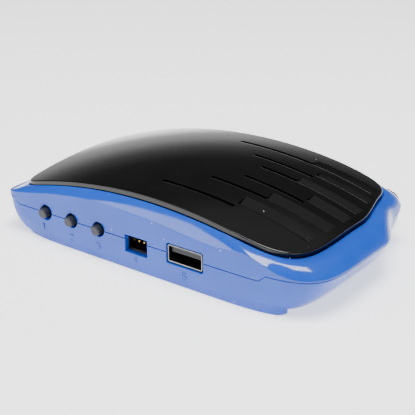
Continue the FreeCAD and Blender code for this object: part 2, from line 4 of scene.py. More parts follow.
import bpy
import numpy as np
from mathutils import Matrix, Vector


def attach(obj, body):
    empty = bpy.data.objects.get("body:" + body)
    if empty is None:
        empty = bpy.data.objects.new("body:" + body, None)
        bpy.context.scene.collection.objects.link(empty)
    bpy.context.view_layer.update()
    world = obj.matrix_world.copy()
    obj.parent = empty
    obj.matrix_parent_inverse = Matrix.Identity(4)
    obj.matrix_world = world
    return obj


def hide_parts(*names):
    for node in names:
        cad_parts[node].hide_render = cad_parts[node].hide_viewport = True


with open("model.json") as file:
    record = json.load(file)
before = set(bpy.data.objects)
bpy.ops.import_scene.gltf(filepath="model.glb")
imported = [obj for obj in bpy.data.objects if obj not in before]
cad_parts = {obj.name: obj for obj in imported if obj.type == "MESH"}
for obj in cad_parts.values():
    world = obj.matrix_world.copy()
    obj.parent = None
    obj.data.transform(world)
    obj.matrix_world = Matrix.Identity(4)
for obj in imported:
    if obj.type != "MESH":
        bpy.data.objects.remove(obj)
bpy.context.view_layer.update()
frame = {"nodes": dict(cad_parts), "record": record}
NODES = frame["nodes"]


MM = 0.001
DY = -3.0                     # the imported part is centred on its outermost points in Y
COLS = 720                    # columns round the case
ROOT = "receiver"

# ------------------------------------------------------------------ dimensions, mm
CASE_A, CASE_B = 64.2, 37.5
PNX, PNY = 8.0, 6.0
COVER_A, COVER_B, COVER_NY = 55.15, 34.3, 4.2
COVER_T, COVER_BAND = 2.2, 1.45
POCKET = 0.45
SEAM_END, SEAM_LONG, SEAM_GAP = 12.6, 10.5, 0.22
FLOOR_Z, FLOOR_TOP = 1.8, 3.3
SHOULDER = [(-64.2, 13.7), (-60, 13.9), (-53.5, 14.8), (-44.7, 16.6), (-39.1, 17.7),
            (-33.5, 18.6), (-28.1, 19.3), (-22.8, 19.8), (-17.6, 20.0), (-12.5, 20.05),
            (-7.5, 19.9), (-2.6, 19.65), (2.3, 19.4), (7.0, 19.0), (11.7, 18.4),
            (16.3, 17.8), (20.9, 17.35), (25.4, 17.05), (28.6, 16.95), (31.0, 17.1),
            (34.1, 17.65), (37.3, 18.0), (40.0, 17.75), (43.0, 17.0), (45.5, 16.0),
            (48.0, 14.9), (51.0, 13.9), (54.5, 13.3), (58.0, 13.1), (64.2, 13.05)]
SLOTS = [(-1.8, 25.5, -23.4, -20.6, 51.2), (9.5, 30.0, -12.9, -12.3, 52.3),
         (17.0, 39.0, -5.4, -2.9, 52.9), (16.8, 30.0, 4.6, 4.8, 52.7),
         (9.0, 31.6, 11.9, 14.6, 51.2), (-3.4, 25.4, 21.6, 22.0, 48.6)]
SLOT_W, SLOT_DEPTH, SLOT_WIDE = 0.85, 0.8, 4.2
EDGE, DROP = 1.05, 0.36        # width and depth of the rounded slope along the near edge of each slot


def slope(s, y):
    """The rounded slope, from the surface down to the slot's near side at y."""
    out = [(y - EDGE, float(dome(s, y)) + 3), (y - EDGE, float(dome(s, y - EDGE)) + 0.004)]
    for k in range(1, 6):
        t = k / 5
        out.append((y - EDGE * (1 - t), float(dome(s, y - EDGE * (1 - t))) - DROP * t ** 1.6))
    return out

BUTTON_X, BUTTON_Z, BUTTON_HOLE_R = (-41.4, -29.6, -17.8), 10.5, 2.45
USB_X, USB_Z = 17.3, 10.2
DATA_X, DATA_Z = -2.0, 8.9
F_X, F_Z, F_R, F_TIP = 42.9, 7.8, 4.76, 45.3
HDMI_X, HDMI_Z = 12.0, 9.2
AV_X, IR_X, JACK_Z = -10.0, -25.0, 9.6
DC_X, DC_Z = -42.0, 9.6
CASE_SCREW = ((-50.0, -12.0), (-50.0, 8.0), (49.0, -10.0), (28.0, 30.5))
PCB_SCREW = ((-47.8, -24.5), (47.5, -25.0), (-49.3, 20.0), (26.0, 22.0))
PCB_TOP, PCB_T = 6.0, 1.6


def dome(x, y):
    u = (x + 0.78) / 50.0
    v = y / 30.0
    return 28.03 - 6.67 * u * u - 0.35 * u ** 3 - 0.35 * u ** 4 - (2.10 + 0.18 * u * u) * v * v


SX = np.linspace(-64.2, 64.2, 1285)
_raw = lambda x: np.interp(x, [p[0] for p in SHOULDER], [p[1] for p in SHOULDER])
_sh = np.zeros_like(SX)
for _o, _w in ((-3, 0.06), (-2, 0.19), (-1, 0.16), (0, 0.18), (1, 0.16), (2, 0.19), (3, 0.06)):
    _sh = _sh + _w * _raw(SX + _o)


def shoulder(x):
    return np.interp(x, SX, _sh)


def _arc():
    (x1, z1), (x2, z2), (x3, z3) = (-56.0, 12.6), (-55.2, 11.22), (-52.6, 10.5)
    a = np.array([[2 * (x2 - x1), 2 * (z2 - z1)], [2 * (x3 - x1), 2 * (z3 - z1)]])
    b = np.array([x2 ** 2 - x1 ** 2 + z2 ** 2 - z1 ** 2, x3 ** 2 - x1 ** 2 + z3 ** 2 - z1 ** 2])
    cx, cz = np.linalg.solve(a, b)
    r = math.hypot(x1 - cx, z1 - cz)
    a1, a3 = math.atan2(z1 - cz, x1 - cx), math.atan2(z3 - cz, x3 - cx)
    if a1 < 0:
        a1 += 2 * math.pi
    if a3 < 0:
        a3 += 2 * math.pi
    t = np.linspace(a1, a3, 24)
    return cx + r * np.cos(t), cz + r * np.sin(t)


_ax, _az = _arc()
PART_X = np.concatenate([[-90.0], _ax, [44.3, 46.6, 90.0]])
PART_Z = np.concatenate([[12.6], _az, [10.5, 12.6, 12.6]])


def parting(x):
    return np.interp(x, PART_X, PART_Z)


# ------------------------------------------------------------------ rings round the plan
def radius(phi, al, ar, b, nx, ny):
    c, s = np.cos(phi), np.sin(phi)
    a = np.where(c >= 0, ar, al)
    # the corner beside the buttons is squarer than the other three
    square = (c < 0) & (s < 0)
    nx = np.where(square, nx * 2.5, nx)
    ny = np.where(square, ny * 3.0, ny)
    lo, hi = np.zeros_like(phi), np.full_like(phi, 200.0)
    for _ in range(60):
        m = 0.5 * (lo + hi)
        out = np.abs(m * c / a) ** nx + np.abs(m * s / b) ** ny > 1.0
        hi = np.where(out, m, hi)
        lo = np.where(out, lo, m)
    return lo


def smooth01(t):
    t = np.clip(t, 0, 1)
    return t * t * (3 - 2 * t)


def lean(x, y):
    """How far the right end draws in toward the aerial side, and the left end toward the button side."""
    right = 8.2 * smooth01((y - 3.0) / 22.0) * np.clip((x - 40.0) / 24.2, 0.0, 1.2) ** 1.7
    left = 3.4 * smooth01((-y - 2.0) / 24.0) * np.clip((-x - 52.0) / 12.0, 0.0, 1.1) ** 1.5
    return right - left


def even_angles(n):
    p = 2 * np.pi * np.arange(8001) / 8000
    r = radius(p, CASE_A, CASE_A, CASE_B, PNX, PNY)
    x, y = r * np.cos(p), r * np.sin(p)
    acc = np.concatenate([[0], np.cumsum(np.hypot(np.diff(x), np.diff(y)))])
    return np.interp(acc[-1] * np.arange(n) / n, acc, p)


PHI = even_angles(COLS)


def plan(al, ar, b, nx=PNX, ny=PNY):
    r = radius(PHI, al, ar, b, nx, ny)
    x, y = r * np.cos(PHI), r * np.sin(PHI)
    return np.stack([x - lean(x, y), y], 1)


def with_z(xy, z):
    z = np.broadcast_to(z, (len(xy),))
    return np.concatenate([xy, z[:, None]], 1)


def lagrange(rings, at, t):
    """Points at t on the curve that passes through rings at the values in at."""
    t = np.asarray(t, float)
    out = np.zeros_like(rings[0])
    for i, r in enumerate(rings):
        w = np.ones_like(t)
        for j in range(len(rings)):
            if j != i:
                w = w * (t - at[j]) / (at[i] - at[j])
        out = out + r * (w[:, None] if w.ndim else w)
    return out


def rounded(rings, rounds, steps=6):
    """The stack of rings with the corner at each ring named in rounds cut back by that distance and rounded."""
    out = []
    n = len(rings)
    for k, b in enumerate(rings):
        if k not in rounds or k in (0, n - 1):
            out.append(b)
            continue
        a, c = rings[k - 1], rings[k + 1]
        ba, bc = a - b, c - b
        la = np.linalg.norm(ba, axis=1)[:, None] + 1e-9
        lc = np.linalg.norm(bc, axis=1)[:, None] + 1e-9
        p = b + ba / la * np.minimum(rounds[k], 0.42 * la)
        q = b + bc / lc * np.minimum(rounds[k], 0.42 * lc)
        for i in range(steps + 1):
            t = i / steps
            out.append((1 - t) ** 2 * p + 2 * t * (1 - t) * b + t * t * q)
    return out


def skin(rings, first=None, last=None, flip=False):
    """Vertices and faces of a stack of rings, closed at each end by a fan of triangles to a point."""
    n = len(rings[0])
    verts = [tuple(p) for r in rings for p in r]
    faces = []
    idx = np.arange(n)
    nxt = (idx + 1) % n
    for k in range(len(rings) - 1):
        a, b = k * n, (k + 1) * n
        for i, j in zip(idx, nxt):
            faces.append((a + i, a + j, b + j, b + i))
    for ring_no, point, down in ((0, first, True), (len(rings) - 1, last, False)):
        base = ring_no * n
        c = len(verts)
        verts.append(tuple(point))
        for i, j in zip(idx, nxt):
            faces.append((base + j, base + i, c) if down else (base + i, base + j, c))
    if flip:
        faces = [tuple(reversed(f)) for f in faces]
    return np.array(verts, float), [tuple(int(i) for i in f) for f in faces]


def toward(ring, z_of, n, power=1.0):
    """Rings that shrink from ring to its middle over a height given by z_of."""
    out = []
    for i in range(1, n):
        f = (1 - i / n) ** power
        xy = ring[:, :2] * f
        out.append(with_z(xy, z_of(xy[:, 0], xy[:, 1])))
    return out


def make(name, verts, faces, material=None, angle=32):
    me = bpy.data.meshes.new(name)
    v = np.array(verts, float) * MM
    v[:, 1] += DY * MM
    me.from_pydata([tuple(p) for p in v], [], faces)
    me.validate()
    me.update()
    o = bpy.data.objects.new(name, me)
    bpy.context.scene.collection.objects.link(o)
    finish_mesh(o, angle)
    if material is not None:
        me.materials.append(material)
    return o


def finish_mesh(o, angle=32):
    me = o.data
    me.polygons.foreach_set("use_smooth", [True] * len(me.polygons))
    me.set_sharp_from_angle(angle=math.radians(angle))
    me.update()


def merged(*pairs):
    vs, fs, base = [], [], 0
    for v, f in pairs:
        v = np.asarray(v, float)
        vs.append(v)
        fs += [tuple(i + base for i in q) for q in f]
        base += len(v)
    return np.concatenate(vs), fs


def signed_volume(v, f):
    v = np.asarray(v, float)
    t = 0.0
    for q in f:
        for k in range(1, len(q) - 1):
            a, b, c = v[q[0]], v[q[k]], v[q[k + 1]]
            t += float(np.dot(a, np.cross(b, c)))
    return t / 6


def outward(v, f):
    return (v, f) if signed_volume(v, f) > 0 else (v, [tuple(reversed(q)) for q in f])


def boolean(target, tool, operation):
    m = target.modifiers.new("b", "BOOLEAN")
    m.operation = operation
    m.object = tool
    m.solver = "MANIFOLD"
    dg = bpy.context.evaluated_depsgraph_get()
    me = bpy.data.meshes.new_from_object(target.evaluated_get(dg))
    old = target.data
    target.modifiers.clear()
    target.data = me
    bpy.data.meshes.remove(old)
    tm = tool.data
    bpy.data.objects.remove(tool)
    bpy.data.meshes.remove(tm)
    print("boolean", target.name, operation, len(me.vertices), len(me.polygons))


# ------------------------------------------------------------------ solids to cut and join with
def rod(profile, centre, axis="y", seg=48, phase=0.0):
    """A turned solid. profile holds (distance along the axis, radius); it starts and ends with radius 0 or is capped."""
    pts, faces = [], []
    cx, cy, cz = centre
    rows = []
    for d, r in profile:
        row = []
        for k in range(seg):
            a = 2 * math.pi * k / seg + phase
            u, w = r * math.cos(a), r * math.sin(a)
            row.append(len(pts))
            if axis == "y":
                pts.append((cx + u, cy + d, cz + w))
            else:
                pts.append((cx + u, cy + w, cz + d))
        rows.append(row)
    for a, b in zip(rows, rows[1:]):
        for k in range(seg):
            j = (k + 1) % seg
            faces.append((a[k], a[j], b[j], b[k]))
    faces.append(tuple(reversed(rows[0])))
    faces.append(tuple(rows[-1]))
    return outward(pts, faces)


def bar(outline_of, stations, axis="y"):
    """A prism along an axis whose outline may change from station to station. outline_of(s) gives (u, w) points."""
    pts, rows, faces = [], [], []
    for s in stations:
        row = []
        for (u, w) in outline_of(s):
            row.append(len(pts))
            if axis == "y":
                pts.append((u, s, w))
            elif axis == "x":
                pts.append((s, u, w))
            else:
                pts.append((u, w, s))
        rows.append(row)
    n = len(rows[0])
    for a, b in zip(rows, rows[1:]):
        for k in range(n):
            j = (k + 1) % n
            faces.append((a[k], a[j], b[j], b[k]))
    faces.append(tuple(reversed(rows[0])))
    faces.append(tuple(rows[-1]))
    return outward(pts, faces)


def round_rect(cx, cz, w, h, r, n=5):
    out = []
    for sx, sz, a0 in ((1, 1, 0), (-1, 1, 90), (-1, -1, 180), (1, -1, 270)):
        for k in range(n + 1):
            a = math.radians(a0 + 90 * k / n)
            out.append((cx + sx * (w / 2 - r) + r * math.cos(a), cz + sz * (h / 2 - r) + r * math.sin(a)))
    return out


def block(x0, x1, y0, y1, z0, z1):
    v = [(x, y, z) for z in (z0, z1) for y in (y0, y1) for x in (x0, x1)]
    f = [(0, 2, 3, 1), (4, 5, 7, 6), (0, 1, 5, 4), (2, 6, 7, 3), (0, 4, 6, 2), (1, 3, 7, 5)]
    return outward(v, f)


def wall_y(x):
    """Distance of a long outer wall from the middle plane."""
    return CASE_B * (1 - abs(x / CASE_A) ** PNX) ** (1 / PNY)


# ------------------------------------------------------------------ case shells
FLOOR_RING = plan(55.2, 56.2, CASE_B - 0.25)
LOW_RING = plan(58.6, 58.6, CASE_B - 0.1)
MID_RING = plan(61.9, 61.6, CASE_B)
SEAM_RING = plan(CASE_A, CASE_A, CASE_B)
LOW_AT = (1.8, 4.0, 7.6, 12.6)


def lower_wall(z):
    """Outer surface at height z for each column, below the end parting height."""
    z = np.broadcast_to(np.asarray(z, float), (COLS,))
    return with_z(lagrange([FLOOR_RING, LOW_RING, MID_RING, SEAM_RING], LOW_AT, z), z)


IN_FLOOR = plan(54.4, 54.8, CASE_B - 2.5)
IN_MID = plan(59.4, 59.2, CASE_B - 2.0)
IN_SEAM = plan(CASE_A - 2.0, CASE_A - 2.0, CASE_B - 2.0)


def inner_wall(z):
    z = np.broadcast_to(np.asarray(z, float), (COLS,))
    zz = np.clip(z, 3.3, 12.4)
    return with_z(lagrange([IN_FLOOR, IN_MID, IN_SEAM], (3.3, 7.4, 12.4), zz), z)


z_part = parting(SEAM_RING[:, 0])
for _ in range(8):
    z_part = parting(lower_wall(z_part)[:, 0])

r_sh = with_z(SEAM_RING, shoulder(SEAM_RING[:, 0]))
rim_xy = plan(COVER_A + 0.3, COVER_A + 0.3, COVER_B + 0.25, PNX, COVER_NY)
r_rim = with_z(rim_xy, dome(rim_xy[:, 0], rim_xy[:, 1]) - COVER_BAND)


def bezel_mid(f):
    p = r_sh + (r_rim - r_sh) * f
    wr = smooth01((r_sh[:, 0] - 44.0) / 16.0)
    wl = smooth01((-r_sh[:, 0] - 56.0) / 8.0)
    amount = 1.9 * wr - 1.1 * wl + 0.25 * (1 - wr) * (1 - wl)
    h = r_sh[:, :2] - r_rim[:, :2]
    run = np.hypot(h[:, 0], h[:, 1]) + 1e-9
    rise = r_rim[:, 2] - r_sh[:, 2]
    length = np.hypot(run, rise)
    nrm = np.stack([h[:, 0] / run * rise / length, h[:, 1] / run * rise / length, run / length], 1)
    return p + nrm * (amount * 4 * f * (1 - f))[:, None]


BEZEL = [r_sh, bezel_mid(0.33), bezel_mid(0.66), r_rim]


def bezel(f):
    return lagrange(BEZEL, (0.0, 0.33, 0.66, 1.0), np.full(COLS, float(f)))


# the bezel stops at the wall of the pocket, a little outside the cover
run_in = np.linalg.norm(r_rim[:, :2] - r_sh[:, :2], axis=1)
f_end = np.clip(1.0 - 0.15 / run_in, 0.9, 1.0)
bez_end = lagrange(BEZEL, (0.0, 0.33, 0.66, 1.0), f_end)


def deck_z(x, y):
    return dome(x, y) - COVER_T


def roof_z(x, y):
    return dome(x, y) - 3.8


def top_shell():
    outer = [lower_wall(z_part)]
    for f in (0.25, 0.5, 0.75):
        outer.append(lower_wall(z_part + (12.6 - z_part) * f + 0.02))
    start_bezel = [bezel(f) for f in ()]
    wall = []
    for f in (0.03, 0.2, 0.4, 0.6, 0.8):
        wall.append(with_z(SEAM_RING, 12.63 + (r_sh[:, 2] - 12.63) * f))
    bez = [lagrange(BEZEL, (0.0, 0.33, 0.66, 1.0), f_end * f) for f in np.linspace(0.06, 0.96, 18)]
    pocket_low = with_z(bez_end[:, :2], deck_z(bez_end[:, 0], bez_end[:, 1]))
    in_part = inner_wall(z_part)
    in_sh_xy = plan(CASE_A - 2.9, CASE_A - 2.5, CASE_B - 2.0)
    in_sh = with_z(in_sh_xy, np.maximum(shoulder(in_sh_xy[:, 0]) - 1.0, z_part + 0.25))
    in_rim_xy = plan(COVER_A - 2.4, COVER_A - 2.4, COVER_B - 2.0, PNX, COVER_NY)
    in_rim = with_z(in_rim_xy, roof_z(in_rim_xy[:, 0], in_rim_xy[:, 1]))
    roof = list(reversed(toward(in_rim, roof_z, 8)))
    rings = roof + [in_rim, in_sh, in_part]
    k_low = len(rings)
    rings += outer + wall
    k_crease = len(rings)
    rings += [r_sh] + bez
    k_rim = len(rings)
    rings += [bez_end, pocket_low] + toward(pocket_low, deck_z, 8)
    rings = rounded(rings, {k_low: 0.16, k_crease: 0.5, k_rim: 0.16}, 6)
    z0 = float(roof_z(0, 0))
    return outward(*skin(rings, (0, 0, z0), (0, 0, float(deck_z(0, 0)))))


def bottom_shell():
    z_top = z_part - SEAM_GAP
    zs = [1.8, 2.5, 3.3, 4.2, 5.2, 6.3, 7.4, 8.5]
    flat = with_z(FLOOR_RING, FLOOR_Z)
    under = list(reversed(toward(flat, lambda x, y: FLOOR_Z + 0 * x, 6)))
    wall = [lower_wall(z) for z in zs[1:]]
    top_out = lower_wall(z_top)
    near_top = lower_wall(z_top - 0.7)
    c = np.linalg.norm(top_out[:, :2], axis=1)
    core_xy = plan(CASE_A - 1.0, CASE_A - 1.0, CASE_B - 1.0)
    # inner end of the parting groove
    core_out = lower_wall(z_part)[:, :2]
    g_xy = core_out * (1 - 1.0 / np.linalg.norm(core_out, axis=1))[:, None]
    g_low, g_high = with_z(g_xy, z_top), with_z(g_xy, z_part - 0.02)
    in_top = inner_wall(z_part - 0.02)
    ins = [inner_wall(z_part + (3.3 - z_part) * f) for f in (0.3, 0.6, 0.85)]
    in_floor = with_z(IN_FLOOR, FLOOR_TOP)
    rings = under + [flat]
    k_floor = len(rings) - 1
    rings += wall + [near_top]
    k_edge = len(rings)
    rings += [top_out, g_low, g_high, in_top] + ins + [in_floor]
    rings += toward(in_floor, lambda x, y: FLOOR_TOP + 0 * x, 6)
    rings = rounded(rings, {k_floor: 0.6, k_edge: 0.14}, 5)
    return outward(*skin(rings, (0, 0, FLOOR_Z), (0, 0, FLOOR_TOP)))


def runner(side):
    """Skid under one long wall, swept up at its left end and rounded at its right."""
    px = np.array([-58.4, -57.0, -55.8, -54.3, -52.2, -49.5, 49.6, 50.9, 51.9, 52.7, 53.3, 54.6])
    pz = np.array([6.5, 2.9, 1.7, 0.75, 0.18, 0.0, 0.0, 0.25, 0.75, 1.45, 2.6, 6.5])
    xs = np.concatenate([np.linspace(-57.6, -49, 34), np.linspace(-47, 44, 40), np.linspace(45, 52.6, 42)])
    rows, pts, faces = [], [], []
    back = 9.0 if side > 0 else 0.0      # the far skid ends sooner, where the case draws in
    if side > 0:
        xs = np.where(xs > 30, 30 + (xs - 30) * (22.6 - back) / 22.6, xs)
    for x in xs:
        a = 60.0 if x < 0 else 57.6 - back
        yo = (CASE_B - 0.2) * max(1 - abs(x / a) ** 8, 0.0) ** (1 / 6)
        yi = CASE_B - 3.6
        yo = max(yo, yi + 0.02)
        z = float(np.interp(x, np.where(px > 0, px - back, px), pz))
        row = []
        r = 0.35 if z < 5.2 else 0.1
        r = min(r, 0.45 * (yo - yi))
        sec = [(yi, 6.2), (yi, z + r)]
        sec += [(yi + r - r * math.cos(t), z + r - r * math.sin(t)) for t in (0.52, 1.05)]
        sec += [(yi + r, z), (yo - r, z)]
        sec += [(yo - r + r * math.sin(t), z + r - r * math.cos(t)) for t in (0.4, 0.8, 1.2)]
        sec += [(yo, z + r), (yo, 6.2)]
        for y, zz in sec:
            row.append(len(pts))
            pts.append((x, side * y, min(zz, 6.2)))
        rows.append(row)
    n = len(rows[0])
    for a, b in zip(rows, rows[1:]):
        for k in range(n):
            j = (k + 1) % n
            faces.append((a[k], a[j], b[j], b[k]))
    faces.append(tuple(reversed(rows[0])))
    faces.append(tuple(rows[-1]))
    return outward(pts, faces)


CH = 0.22                       # chamfer at the mouth of each opening


def hole(x, z, r, side, y_in=30.0, y_out=46.0, seg=64):
    w = wall_y(x)
    p = [(y_in, r), (w - CH, r), (w + 0.02, r + CH + 0.02), (w + 1.0, r + CH + 1.0), (y_out, r + CH + 1.0)]
    if side < 0:
        p = [(-d, rr) for d, rr in p]
    return rod(p, (x, 0, z), "y", seg)


def slot_hole(x, z, w0, h0, r, side, y_in=33.0, y_out=46.0):
    w = wall_y(x)
    st = [(y_in, 0.0), (w - CH, 0.0), (w + 0.02, CH + 0.02), (w + 1.0, CH + 1.0), (y_out, CH + 1.0)]
    d = {s: g for s, g in st}

    def outline(s):
        g = d[abs(s)]
        return round_rect(x, z, w0 + 2 * g, h0 + 2 * g, r + g)
    return bar(outline, [side * s for s, _ in st], "y")


def wall_tools():
    t = [hole(bx, BUTTON_Z, BUTTON_HOLE_R, -1) for bx in BUTTON_X]
    t.append(slot_hole(USB_X, USB_Z, 14.1, 6.6, 0.6, -1))
    t.append(slot_hole(DATA_X, DATA_Z, 9.0, 5.7, 0.25, -1))
    t.append(hole(F_X, F_Z, F_R + 0.35, 1))
    t.append(slot_hole(HDMI_X, HDMI_Z, 15.2, 5.7, 0.3, 1))
    t.append(hole(AV_X, JACK_Z, 3.15, 1))
    t.append(hole(IR_X, JACK_Z, 3.15, 1))
    t.append(hole(DC_X, DC_Z, 4.2, 1))
    return t


# engraved plain numbers below the buttons and sockets: strokes on a 2 x 3 grid
GLYPH = {
    "1": [(0.4, 2.4, 1.0, 3.0), (1.0, 3.0, 1.0, 0.0)],
    "2": [(0.0, 2.6, 0.5, 3.0), (0.5, 3.0, 1.5, 3.0), (1.5, 3.0, 2.0, 2.5), (2.0, 2.5, 2.0, 1.9), (2.0, 1.9, 0.0, 0.0), (0.0, 0.0, 2.0, 0.0)],
    "3": [(0.0, 3.0, 2.0, 3.0), (2.0, 3.0, 1.0, 1.75), (1.0, 1.75, 2.0, 1.2), (2.0, 1.2, 2.0, 0.5), (2.0, 0.5, 1.5, 0.0), (1.5, 0.0, 0.0, 0.0)],
    "4": [(1.5, 0.0, 1.5, 3.0), (1.5, 3.0, 0.0, 1.0), (0.0, 1.0, 2.0, 1.0)],
    "5": [(2.0, 3.0, 0.0, 3.0), (0.0, 3.0, 0.0, 1.7), (0.0, 1.7, 1.5, 1.7), (1.5, 1.7, 2.0, 1.2), (2.0, 1.2, 2.0, 0.5), (2.0, 0.5, 1.5, 0.0), (1.5, 0.0, 0.0, 0.0)],
}


def number_tools():
    """Strokes in groups whose members lie apart: the first stroke of every number, then the second and so on."""
    groups = {}
    for text, cx, cz, size in (("1", -42.4, 5.2, 0.72), ("2", -29.7, 4.5, 0.72), ("3", -17.7, 4.6, 0.72),
                               ("4", -2.2, 4.3, 0.72), ("5", 17.4, 4.2, 0.72)):
        w = wall_y(cx) - 0.02
        for k, (x0, z0, x1, z1) in enumerate(GLYPH[text]):
            ax, az = cx + (x0 - 1.0) * size, cz + (z0 - 1.5) * size
            bx, bz = cx + (x1 - 1.0) * size, cz + (z1 - 1.5) * size
            length = math.hypot(bx - ax, bz - az)
            ux, uz = (bx - ax) / length, (bz - az) / length
            h = 0.17
            e = 0.13 + 0.004 * k
            pts = [(ax - ux * e - uz * h, az - uz * e + ux * h), (bx + ux * e - uz * h, bz + uz * e + ux * h),
                   (bx + ux * e + uz * h, bz + uz * e - ux * h), (ax - ux * e + uz * h, az - uz * e - ux * h)]
            depth = 0.22 + 0.003 * k
            groups.setdefault(k, []).append(bar(lambda s, pts=pts: pts, [-(w - depth), -(w + 1.0)], "y"))
    return [groups[k] for k in sorted(groups)]


# ------------------------------------------------------------------ black cover
def cover_shell():
    edge = plan(COVER_A, COVER_A, COVER_B, PNX, COVER_NY)
    top = with_z(edge, dome(edge[:, 0], edge[:, 1]))
    low = with_z(edge, dome(edge[:, 0], edge[:, 1]) - COVER_T)
    mid = with_z(edge, dome(edge[:, 0], edge[:, 1]) - COVER_T * 0.5)
    under = list(reversed(toward(low, deck_z, 8)))
    rings = under + [low, mid]
    k_top = len(rings)
    n = 56
    tops = []
    for i in range(1, n):
        f = 1 - (i / n)
        xy = edge * f
        tops.append(with_z(xy, dome(xy[:, 0], xy[:, 1])))
    rings += [top] + tops
    rings = rounded(rings, {k_top: 0.5}, 7)
    return outward(*skin(rings, (0, 0, float(deck_z(0, 0))), (0, 0, float(dome(0, 0)))))


def slot_tools():
    out = []
    e = 0.16                    # worn edge of each slot
    for (x0, xs, ya, yb, x1) in SLOTS:
        # narrow groove with straight sides and a level floor
        st = [x0 - e, x0] + list(np.linspace(x0 + 0.02, xs + 0.25, 24))
        def narrow(s, x0=x0, ya=ya):
            g = 0.0
            s2 = max(s, x0)
            zt, zb = dome(s, ya), dome(s, ya + SLOT_W)
            d = SLOT_DEPTH if s >= x0 else 0.02
            if s <= x0 - e + 1e-9:
                g = 0.0
            return [(ya, zt - d), (ya + SLOT_W, zb - d), (ya + SLOT_W, zb - e * 0.6), (ya + SLOT_W + e, zb + e * 0.4),
                    (ya + SLOT_W + e, zb + 3)] + slope(s, ya)
        out.append(bar(narrow, st[1:], "x"))
        # wide groove whose floor rises to the surface away from its near edge
        st = list(np.linspace(xs, x1, 44))
        def wide(s, yb=yb):
            zt = dome(s, yb)
            pts = [(yb, zt - SLOT_DEPTH)]
            for k in range(1, 9):
                t = k / 8
                y = yb + SLOT_WIDE * t
                d = SLOT_DEPTH * (1 - t) ** 1.15
                pts.append((y, dome(s, y) - d + 0.012 * t))
            zf = dome(s, yb + SLOT_WIDE)
            pts += [(yb + SLOT_WIDE, zf + 3)] + slope(s, yb)
            return pts
        out.append(bar(wide, st, "x"))
    return out


# ------------------------------------------------------------------ aerial connector
def aerial_solid():
    pitch = 0.794
    seg = 96
    y0, y1 = 37.8, F_TIP
    n = 120
    rows, pts, faces = [], [], []
    rows_r = []
    for i in range(n + 1):
        y = y0 + (y1 - y0) * i / n
        row = []
        for k in range(seg):
            th = 2 * math.pi * k / seg
            ph = (y / pitch - k / seg) % 1.0
            tri = abs(2 * ph - 1.0)
            depth = 0.40 * min(max((tri - 0.12) / 0.76, 0.0), 1.0)
            fade = min(1.0, (y1 - 0.25 - y) / 0.45) if y > y1 - 0.7 else 1.0
            fade = max(fade, 0.0)
            r = F_R - 0.03 - depth * fade
            if y > y1 - 0.42:
                r = min(r, F_R - 0.03 - (y - (y1 - 0.42)) * 0.9)
            row.append(len(pts))
            pts.append((F_X + r * math.cos(th), y, F_Z + r * math.sin(th)))
        rows.append(row)
    for a, b in zip(rows, rows[1:]):
        for k in range(seg):
            j = (k + 1) % seg
            faces.append((a[k], a[j], b[j], b[k]))
    faces.append(tuple(reversed(rows[0])))
    faces.append(tuple(rows[-1]))
    return outward(pts, faces)


# ------------------------------------------------------------------ materials
def mat(name):
    m = bpy.data.materials.new(name)
    m.use_nodes = True
    nt = m.node_tree
    nt.nodes.clear()
    out = nt.nodes.new("ShaderNodeOutputMaterial")
    b = nt.nodes.new("ShaderNodeBsdfPrincipled")
    nt.links.new(b.outputs[0], out.inputs[0])
    return m, nt, b


def lin(h):
    c = [int(h[i:i + 2], 16) / 255 for i in (0, 2, 4)]
    return [x / 12.92 if x <= 0.04045 else ((x + 0.055) / 1.055) ** 2.4 for x in c]


